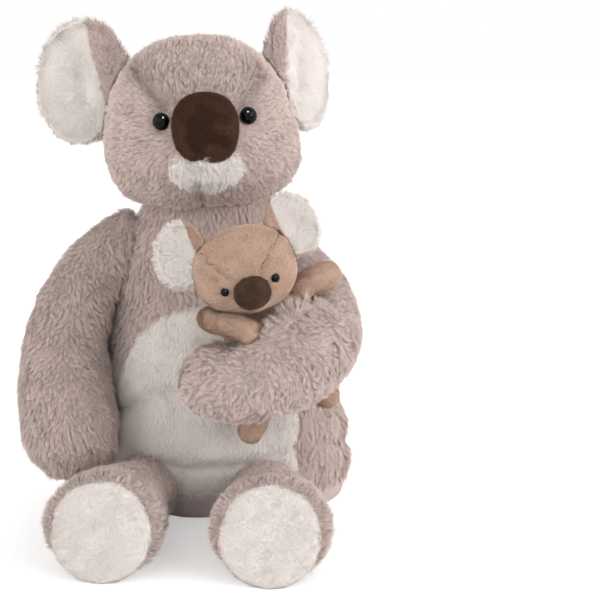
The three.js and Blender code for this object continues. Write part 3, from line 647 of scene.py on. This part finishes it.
def add_torso():
    torso = Skin(["seat_base", "torso_cover", "belly_panel", "torso_filling"], 2.6)
    torso.name_kinds({"seat_base": "seat", "torso_cover": "grey", "belly_panel": "white"})
    torso.smooth(24)
    sunk = -np.array([TORSO_PILE_SINK[kind] for kind in torso.kinds])
    sunk *= np.clip((NECK[2] - torso.points[:, 2]) / 12, 0, 1)
    torso.push(torso.blur(sunk, 6) + 0.9 * waves(torso.points, 45, seed=1))
    torso.push(-1.6 * torso.blur(torso.seams(), 2))
    flank = torso.points[:, 0] > FLANK_FROM
    torso.bulge(*HIP, flank)
    for crease in FLANK_CREASES:
        torso.crease(*crease, flank)
    torso.bulge(*RIGHT_SHOULDER)
    front = torso.points[:, 1] < 0
    for crease in BELLY_CREASES:
        torso.crease(*crease, front)
    torso.points[torso.points[:, 2] > NECK[2] - 2, 2] += COLLAR
    torso.stay_above_floor()
    torso.finish("torso_skin", "torso", "grey")
    # The torso's fur is drawn in lighter tints: painted light, for the light that falls on it
    pile("torso_fur", torso, "grey", comb_along(DOWN), FUR, seed=100, painted_light_and_shade=0.25)
    pile("belly_pile", torso, "white", comb_along(DOWN), BELLY_PILE, seed=200)
    return torso


# Head

BROWS = [
    [(-52, 318), (-46, 311), (-41, 306.5), (-33, 300), (-26, 293.5), (-19, 287)],
    [(43, 322), (40, 313), (38, 307), (35, 299.5), (31.5, 293), (28, 287.5)],
]
BROW_GROOVE = (3.6, 6.5)  # width and depth
BROW_LOW = 283  # the forehead between the seams starts at this height
MOUTH = ([(4, 238), (3, 230), (2, 222)], 3.0, 3.5)
CHEEK = ((64, -16, 248), 24, 5.0)
EYE_DIMPLE = (9, -2.0)
PHILTRUM = [(4.0, -74, 236), (3.6, -71, 231)]
FACE_DEPTH = 50  # behind the middle of the nose
FROM_NOSE = comb_from(NOSE_AT + np.array([0, 25, 0]), (0, 0.35, -0.1))


def on_face(points):
    return points[:, 1] < NOSE_AT[1] + FACE_DEPTH


def between_brows(points):
    """1 on the forehead between the two seams, falling to 0 past them."""
    left, right = (np.interp(points[:, 2], *zip(*[(z, x) for x, z in line[::-1]])) for line in BROWS)
    aside = np.minimum(points[:, 0] - left, right - points[:, 0])
    ahead = np.clip((NECK[1] - 10 - points[:, 1]) / 25, 0, 1)
    return ahead * np.clip(0.5 + aside / 6, 0, 1) * np.clip((points[:, 2] - BROW_LOW) / 6, 0, 1)


def in_grooves(points):
    """1 in the grooves of the two brow seams, falling to 0 beside them."""
    return bell(np.minimum(*[to_line(from_front(points), line) for line in BROWS]), 4) * on_face(points)


def head_length(roots):
    return 1 - 0.7 * in_grooves(roots)


# Painted light and shade on the head's pile: a touch lighter all over, painted shade on the forehead between the
# seams and painted shadow in the seams' grooves
def head_painted_light_and_shade(roots):
    return 0.06 - 0.3 * between_brows(roots) - 1.0 * in_grooves(roots)


def head_comb(roots):
    """Away from the nose, and upward on the forehead between the seams."""
    forehead = between_brows(roots)[:, None]
    return (1 - forehead) * FROM_NOSE(roots) + forehead * np.array([0, 0.5, 1.0])


def add_head():
    head = Skin(["head_cover", "chin_patch", "head_filling"], 2.2)
    head.name_kinds({"head_cover": "grey", "chin_patch": "white"})
    head.smooth(20)
    head.push(-3.0 + 0.8 * waves(head.points, 35, seed=11))
    face = on_face(head.points)
    for line in BROWS:
        head.crease(line, *BROW_GROOVE, face)
    head.crease(*MOUTH, face)
    head.push(1.5 * head.blur((head.kinds == "white") * 1.0, 4))
    head.bulge(*CHEEK)
    for side in SIDES:
        head.bulge(middle(f"eye_{side}"), *EYE_DIMPLE)
    head.finish("head_skin", "head", "grey")
    pile("head_fur", head, "grey", head_comb, FUR, seed=300, shape=head_length, painted_light_and_shade=head_painted_light_and_shade)
    pile("chin_fluff", head, "white", FROM_NOSE, FLUFF, seed=400, turn=0.9)
    stitches("philtrum_stitch", head, PHILTRUM, "head", spacing=5, thickness=0.7)
    return head


def stitches(name, skin, line, body, spacing, thickness):
    """Stitches of thread along an open line, each a short spindle that lies on the skin."""
    tree = skin.tree()
    line = np.array(line, float)
    lengths = np.linalg.norm(np.diff(line, axis=0), axis=1)
    reach = np.concatenate([[0], np.cumsum(lengths)])
    bm = bmesh.new()
    for k in range(max(1, int(reach[-1] / spacing))):
        ends = [k * spacing, (k + 0.75) * spacing]
        spots = []
        for end in ends:
            place = Vector([np.interp(end, reach, line[:, axis]) for axis in range(3)]) * MM
            spot, facing, _, _ = tree.find_nearest(place)
            spots.append(spot + facing * (0.3 * thickness * MM))
        along = spots[1] - spots[0]
        aside = along.cross(facing).normalized() * (thickness * MM / 2)
        rise = facing * (thickness * MM / 2)
        ring = [bm.verts.new(sum(spots, Vector()) / 2 + v) for v in (aside, rise, -aside, -rise)]
        tips = [bm.verts.new(spot) for spot in spots]
        for a, b in zip(ring, ring[1:] + ring[:1]):
            bm.faces.new((a, b, tips[1]))
            bm.faces.new((b, a, tips[0]))
    mesh = bpy.data.meshes.new(name)
    bm.to_mesh(mesh)
    bm.free()
    mesh.materials.append(THREAD)
    add_piece(name, mesh, body)


# Noses and eyes

NOSE_CREASE = ([(7, -89, 253), (10, -89.5, 257), (16, -87.5, 257.5), (22, -83.5, 256.5)], 1.6, 1.8)
EYE = {"radius": 5.8, "dome": 4.6}  # the dome's height over its rim
CUB_EYE = {"radius": 2.7, "dome": 2.2}
PAINTED_SHEEN_RIM = 0.68  # from this share of the half width outward a nose's velvet is drawn lighter: a painted sheen


def add_nose(name, node, body, kind, seed, creases=()):
    """A velvet nose: its skin in a pile as fine as a peach's, with a painted sheen that lightens the velvet toward
    its rim.
    """
    skin = Skin([node], 1.1, kind)
    skin.smooth(8)
    skin.push(-0.6)
    for crease in creases:
        skin.crease(*crease)
    skin.finish(f"{name}_skin", body, kind)
    half = (corners(node)[1] - corners(node)[0])[[0, 2]] / 2

    # Painted sheen: the velvet's tone rises toward the rim, under patches of random tone
    def painted_light_and_shade(roots):
        rim = np.linalg.norm(from_front(roots - middle(node)) / half, axis=1)
        return 1.5 * (rim - PAINTED_SHEEN_RIM) + 0.4 * waves(roots, 0.7 * half[0], seed)

    pile(f"{name}_velvet", skin, kind, comb_along(DOWN), VELVET, seed, painted_light_and_shade=painted_light_and_shade)


def add_eye(name, node, body, head_middle, radius, dome):
    """A glossy dome on a short rim, where the node's own dome is."""
    data = frame["nodes"][node].data
    points = np.array([v.co for v in data.vertices]) / MM
    facing = unit(points.mean(0) - head_middle)
    axis_point = points.mean(0)
    height = ((points - axis_point) @ facing).max() - dome
    base = axis_point + facing * height
    profile = [(0, -1.5), (0.9 * radius, -1.5), (radius, -0.9), (radius, 0)]
    profile += [(radius * math.cos(a), dome * math.sin(a)) for a in np.linspace(0, math.pi / 2, 12)[1:]]
    bm = bmesh.new()
    verts = [bm.verts.new((r * MM, 0, h * MM)) for r, h in profile]
    edges = [bm.edges.new(pair) for pair in zip(verts[:-1], verts[1:])]
    bmesh.ops.spin(bm, geom=verts + edges, cent=(0, 0, 0), axis=(0, 0, 1), angle=2 * math.pi, steps=40)
    bmesh.ops.remove_doubles(bm, verts=bm.verts, dist=1e-6)
    bmesh.ops.recalc_face_normals(bm, faces=bm.faces)
    mesh = bpy.data.meshes.new(name)
    bm.to_mesh(mesh)
    bm.free()
    mesh.polygons.foreach_set("use_smooth", [True] * len(mesh.polygons))
    turn = Vector(facing).to_track_quat("Z", "Y").to_matrix().to_4x4()
    turn.translation = Vector(base * MM)
    mesh.transform(turn)
    mesh.materials.append(EYE_GLOSS)
    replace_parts(add_piece(name, mesh, body), node)


# Ears

EAR_PILE_SINK = {"grey": 2.2, "white": 1.6}
EAR_SEWN = 2.0  # where an ear touches the head, it reaches this far into it
EAR_FOLD = ([(40, 24), (27, 8), (20, -10)], 6, 3.0)  # outward and up from the root


def ear_axes(front_node, pivot, up):
    """An ear's directions from its root: outward, up its root line and toward its front."""
    out = middle(front_node) - pivot
    out = unit(out - (out @ up) * up)
    ahead = np.cross(out, up)
    return np.array([out, up, ahead if ahead[1] < 0 else -ahead])


def add_ear(side, head):
    pivot, axis = joint(f"{side}_ear_fold")
    axes = ear_axes(f"ear_front_{side}", pivot, axis * np.sign(axis[2]))
    ear = Skin([f"ear_back_{side}", f"ear_front_{side}"], 1.7)
    ear.name_kinds({f"ear_back_{side}": "grey", f"ear_front_{side}": "white"})
    ear.smooth(10)
    out, up, _ = axes @ (ear.points - pivot).T
    facing_ahead = ear.normals() @ axes[2]
    ear.kinds[(facing_ahead > 0.1) & (out > 0.15 * out.max())] = "white"
    ear.kinds[(out < 10 + 0.42 * up) & (up > -22)] = "grey"
    close = closeness(ear, head, 7)
    sunk = -np.array([EAR_PILE_SINK[kind] for kind in ear.kinds])
    ear.push(ear.blur(sunk, 5) * (1 - close) + EAR_SEWN * close)
    line, width, depth = EAR_FOLD
    ear.push(-depth * bell(to_line(np.stack([out, up], axis=1), line), width) * (facing_ahead > 0.3))
    ear.push(0.8 * waves(ear.points, 30, seed=31))
    ear.finish(f"ear_skin_{side}", f"{side}_ear", "grey")
    outward = comb_from(pivot + 8 * axes[0])
    pile(f"ear_fur_{side}", ear, "grey", outward, EAR_BACK, 500 + SIDES[side])
    pile(f"ear_fluff_{side}", ear, "white", outward, EAR_PILE, 600 + SIDES[side])


# Limbs

LAP = [(46, -127, 150), (52, -120, 153.5), (58, -114, 157), (66, -105, 162), (75, -92, 167)]  # the hugging arm's edge
LAP_MOVE = (0, -3.0, 9.5)  # onto the small koala
LAP_PILE = LAP + np.array([0, -2, 6])  # where the longer, raised pile of that edge is
SOLE_SPREAD = 1.1  # the pile of the sole lies this much wider than its solid


def add_limb(
    node, body, kind, comb, style, seed, beside, sewn, voxel=2.2, sunk=3.0, moves=(), end=None, ironed=0, **look
):
    """A stuffed limb in its pile.

    beside is the skin that it is sewn to, and sewn how far it reaches for that, where its seam is and how much
    of it takes part. moves are lines with the reach and the way that the limb is moved round each. end is the
    radius of its rounded end, ironed the passes that smooth it at last, and look goes to its pile.
    """
    limb = Skin([node], voxel, kind)
    limb.smooth(16)
    limb.push(-sunk + 0.25 * sunk * waves(limb.points, 15 * voxel, seed))
    limb.lean(beside, *sewn)
    for line, width, move in moves:
        limb.points += bell(to_line(limb.points, line), width)[:, None] * np.array(move)
    if end is not None:
        limb.round_end(sewn[1], end)
    limb.smooth(ironed)
    limb.stay_above_floor()
    limb.finish(f"{node}_skin", body, kind)
    pile(f"{node}_fur", limb, kind, comb, style, seed, **look)


def comb_hug(points):
    """Down and back over the elbow, toward its fingertips on the hand, and up where it lies on the small koala."""
    hand = np.clip((60 - points[:, 0]) / 40, 0, 1)[:, None]
    edge = bell(to_line(points, LAP_PILE), 9)[:, None]
    field = (1 - hand) * np.array([0.2, 0.5, -1.0]) + hand * np.array([-0.8, 0.2, -0.7])
    return (1 - edge) * field + edge * np.array([-0.3, -0.45, 1.2])


def hug_length(roots):
    return 1 + 0.8 * bell(to_line(roots, LAP_PILE), 10)


def comb_leg(side):
    """Back and up along the leg, and outward like a fringe round its sole."""
    centre = middle(f"sole_{side}")

    def comb(points):
        away = points - centre
        rim = bell(away[:, 1], 12)[:, None]
        return (1 - rim) * np.array([0, 0.8, 0.5]) + rim * unit(away * np.array([1, 0, 1]))

    return comb


def add_arms(torso, cub):
    right, left = (joint(name)[0] for name in ("right_arm_swing", "left_arm_open"))
    hanging = comb_along((0, 0.2, -1))
    add_limb("arm_right", "right_arm", "grey", hanging, FUR, 700, torso, (9, right, 45))
    how = {"moves": [(LAP, 9, LAP_MOVE)], "turn": 0.9, "avoid": [cub], "shape": hug_length}
    add_limb("arm_left", "left_arm", "grey", comb_hug, FUR, 710, torso, (9, left, 45), **how)


def add_leg(side, torso):
    hip, body, seed = joint(f"{side}_leg_lower")[0], f"{side}_leg", 720 + SIDES[side]
    # The legs' fur is drawn in darker tints: painted shade
    how = {"sunk": 0.9, "painted_light_and_shade": -0.2}
    add_limb(f"leg_{side}", body, "grey", comb_leg(side), LEG_FUR, seed, torso, (9, hip, 40), **how)


def add_sole(side):
    sole = Skin([f"sole_{side}"], 1.6, "white")
    sole.smooth(6)
    centre = sole.points.mean(0)
    away = sole.points - centre
    facing = np.linalg.svd(away, full_matrices=False)[2][2]
    through = (away @ facing)[:, None] * facing
    sole.points = centre + through + SOLE_SPREAD * (away - through)
    sole.push(0.2 + 0.5 * waves(sole.points, 22, seed=61))
    sole.stay_above_floor()
    sole.finish(f"sole_skin_{side}", f"{side}_leg", "white")
    # The soles' pile is drawn in darker tints: painted shade
    how = {"turn": 1.0, "painted_light_and_shade": -0.4}
    pile(f"sole_pile_{side}", sole, "white", comb_along(UP), SOLE_PILE, 800 + SIDES[side], **how)


# Small koala

CUB_LIMBS = {
    "right": {"arm": "small_right_arm_open", "leg": "small_right_leg_swing", "seed": 1023},
    "left": {"arm": "small_left_arm_raise", "leg": "small_left_leg_swing", "seed": 1012},
}
CUB_PAW = [([(48, -136, 154), (58, -136, 154)], 14, (-5.5, -1.0, -4.5))]  # the right paw lies lower on the big arm
CUB_PAW_RADIUS = 8.6
CUB_EAR_TAN = {"right": (-5.5, 0.35, 201), "left": (52.5, 0.42, 207)}  # edge, slant and low end of an ear's tan root
CUB_EAR_TAN_TOP = 229  # the height at which the edge is given
CUB_SEAMS = [
    [(8, -122, 202), (11, -128, 200), (17, -135, 196.4), (23.4, -138.4, 192), (29.6, -139, 187.4)],
    [(58, -107, 212), (55.6, -126.7, 208), (52.4, -132.4, 202.6), (50.2, -135, 197), (48.5, -136.5, 190)],
]
CUB_SEAM_GROOVE = (2.0, 1.9)  # width and depth
CUB_SEAM_BARE = 1.2  # no plush grows this close to a seam


def add_cub_body():
    along = comb_along(-joint("small_koala_lift")[1])
    body = Skin(["cub_front_panel", "cub_back_panel", "cub_belly_patch", "cherry_pit_pouch"], 1.6)
    body.name_kinds({"cub_front_panel": "tan", "cub_back_panel": "tan", "cub_belly_patch": "cream"})
    body.smooth(8)
    body.push(-0.8 + 0.3 * waves(body.points, 25, seed=41))
    body.finish("cub_body_skin", "small_koala", "tan")
    pile("cub_body_plush", body, "tan", along, PLUSH, seed=900)
    pile("cub_belly_plush", body, "cream", along, PLUSH, seed=910)
    return body


def on_cub_seam(roots):
    return np.minimum(*[to_line(roots, line) for line in CUB_SEAMS]) < CUB_SEAM_BARE


def add_cub_head():
    head = Skin(["cub_head"], 1.5, "tan")
    head.smooth(10)
    head.push(-0.8 + 0.3 * waves(head.points, 25, seed=42))
    for line in CUB_SEAMS:
        head.crease(line, *CUB_SEAM_GROOVE)
    head.finish("cub_head_skin", "small_head", "tan")
    away = comb_from(middle("cub_nose") + np.array([0, 14, 0]))
    pile("cub_head_plush", head, "tan", away, PLUSH, seed=920, bare=on_cub_seam)
    for k, line in enumerate(CUB_SEAMS):
        stitches(f"cub_head_stitches_{k + 1}", head, line, "small_head", spacing=2.0, thickness=0.8)
    add_nose("cub_nose", "cub_nose", "small_head", "taupe", seed=930)
    return head


def add_cub_ear(side, head):
    back, front = f"cub_ear_back_{side}", f"cub_ear_front_{side}"
    ear = Skin([back, front], 1.2)
    ahead = unit(middle(front) - middle(back))
    ear.smooth(14)
    edge, slant, low = CUB_EAR_TAN[side]
    inward = (ear.points[:, 0] - edge - slant * (CUB_EAR_TAN_TOP - ear.points[:, 2])) * (1 if side == "right" else -1)
    root = (inward > 0) & (ear.points[:, 2] > low)
    ear.kinds[:] = np.where((ear.normals() @ ahead > -0.3) & ~root, "white", "tan")
    close = closeness(ear, head, 4)
    ear.push(-0.9 * (1 - close) + 1.2 * close)
    ear.finish(f"cub_ear_skin_{side}", "small_head", "tan")
    outward = comb_from(middle(back) * 0.4 + middle("cub_head") * 0.6)
    pile(f"cub_ear_plush_{side}", ear, "tan", outward, PLUSH, 940 + SIDES[side])
    # The small koala's white ear pile is drawn in lighter tints: painted light on the ears' rims
    how = {"turn": 0.7, "painted_light_and_shade": 0.3}
    pile(f"cub_ear_fluff_{side}", ear, "white", outward, CUB_EAR_PILE, 950 + SIDES[side], **how)


def add_cub_limb(part, side, body):
    node = f"cub_{part}_{side}"
    root, seed = joint(CUB_LIMBS[side][part])[0], CUB_LIMBS[side]["seed"]
    how = {"voxel": 1.3, "sunk": 0.5, "end": CUB_PAW_RADIUS, "ironed": 14}
    if node == "cub_arm_right":
        how["moves"] = CUB_PAW
    add_limb(node, f"small_{side}_{part}", "tan", comb_from(root), PLUSH, seed, body, (5, root, 16), **how)


def add_cub():
    body = add_cub_body()
    head = add_cub_head()
    for side in SIDES:
        add_eye(f"cub_eye_piece_{side}", f"cub_eye_{side}", "small_head", middle("cub_head"), **CUB_EYE)
        add_cub_ear(side, head)
        for part in ("arm", "leg"):
            add_cub_limb(part, side, body)
    return body


def add_hidden():
    """The pouch inside the small koala, and the washers behind the eyes."""
    pouch = Skin(["cherry_pit_pouch"], 2.0, "cotton")
    pouch.smooth(4)
    pouch.push(-0.4 + 0.4 * waves(pouch.points, 12, seed=51))
    pouch.finish("pouch_bag", "small_koala", "cotton")
    for side in SIDES:
        washer = frame["nodes"][f"eye_washer_{side}"]
        washer.data.materials.clear()
        washer.data.materials.append(WASHER_PLASTIC)


def add_toy():
    torso = add_torso()
    head = add_head()
    add_nose("nose", "nose", "head", "nose", seed=450, creases=[NOSE_CREASE])
    head_middle = NECK + (NOSE_AT - NECK) * np.array([0, 0, 1])
    for side in SIDES:
        add_eye(f"eye_piece_{side}", f"eye_{side}", "head", head_middle, **EYE)
        add_ear(side, head)
    cub = add_cub()
    add_arms(torso, cub)
    for side in SIDES:
        add_leg(side, torso)
        add_sole(side)
    add_hidden()


# Light, floor and camera


def add_lamp(name, spec):
    """A wide, even light from one direction."""
    lamp = bpy.data.lights.new(name, "SUN")
    lamp.angle = spec["width"]
    lamp.energy = spec["level"]
    thing = bpy.data.objects.new(name, lamp)
    thing.rotation_euler = (-Vector(spec["from"])).to_track_quat("-Z", "Y").to_euler()
    thing.visible_diffuse = not spec.get("in_gloss_only", False)  # the catch light in the eyes lights nothing else
    bpy.context.scene.collection.objects.link(thing)


def background_rays(nodes, links):
    """1 for a ray that shows the background: from the camera, in a mirror or through glass."""
    rays = nodes.new("ShaderNodeLightPath")
    value = rays.outputs["Is Camera Ray"]
    for name in ("Is Glossy Ray", "Is Transmission Ray"):
        value = math_node(nodes, links, "MAXIMUM", value, rays.outputs[name])
    return value


def add_world():
    """Plain light all round, and a white background for what shows it."""
    world = bpy.data.worlds.new("studio")
    bpy.context.scene.world = world
    world.use_nodes = True
    nodes, links = world.node_tree.nodes, world.node_tree.links
    seen, light = nodes["Background"], nodes.new("ShaderNodeBackground")
    for shader, level in ((seen, 1.0), (light, WORLD_LEVEL)):
        shader.inputs["Color"].default_value = (1, 1, 1, 1)
        shader.inputs["Strength"].default_value = level
    mix = nodes.new("ShaderNodeMixShader")
    links.new(background_rays(nodes, links), mix.inputs["Fac"])
    links.new(light.outputs[0], mix.inputs[1])
    links.new(seen.outputs[0], mix.inputs[2])
    links.new(mix.outputs[0], nodes["World Output"].inputs["Surface"])


def add_floor():
    mesh = bpy.data.meshes.new("floor")
    ring = [(x * FLOOR_HALF, y * FLOOR_HALF, 0) for x, y in ((-1, -1), (1, -1), (1, 1), (-1, 1))]
    mesh.from_pydata(ring, [], [(0, 1, 2, 3)])
    white = principled("floor_white", FLOOR_COLOUR, 1.0)
    nodes, links = white.node_tree.nodes, white.node_tree.links
    shader = nodes["Principled BSDF"]
    shader.inputs["Emission Color"].default_value = (1, 1, 1, 1)
    glow = math_node(nodes, links, "MULTIPLY", background_rays(nodes, links), FLOOR_GLOW)
    links.new(glow, shader.inputs["Emission Strength"])
    mesh.materials.append(white)
    floor = bpy.data.objects.new("floor", mesh)
    bpy.context.scene.collection.objects.link(floor)


def add_camera():
    heading = math.atan2(-CAMERA_AT.y, -CAMERA_AT.x) - CAMERA_ASIDE
    level = math.cos(CAMERA_DOWN)
    forward = Vector((level * math.cos(heading), level * math.sin(heading), -math.sin(CAMERA_DOWN)))
    data = bpy.data.cameras.new("camera")
    data.lens = FOCAL_LENGTH * FILM_WIDTH / PICTURE_WIDTH
    data.sensor_width = FILM_WIDTH
    camera = bpy.data.objects.new("camera", data)
    camera.location = CAMERA_AT
    camera.rotation_euler = forward.to_track_quat("-Z", "Y").to_euler()
    bpy.context.scene.collection.objects.link(camera)
    bpy.context.scene.camera = camera


add_toy()
add_camera()
add_world()
add_floor()
for name, spec in LAMPS.items():
    add_lamp(name, spec)
bpy.context.scene.view_settings.view_transform = "Standard"
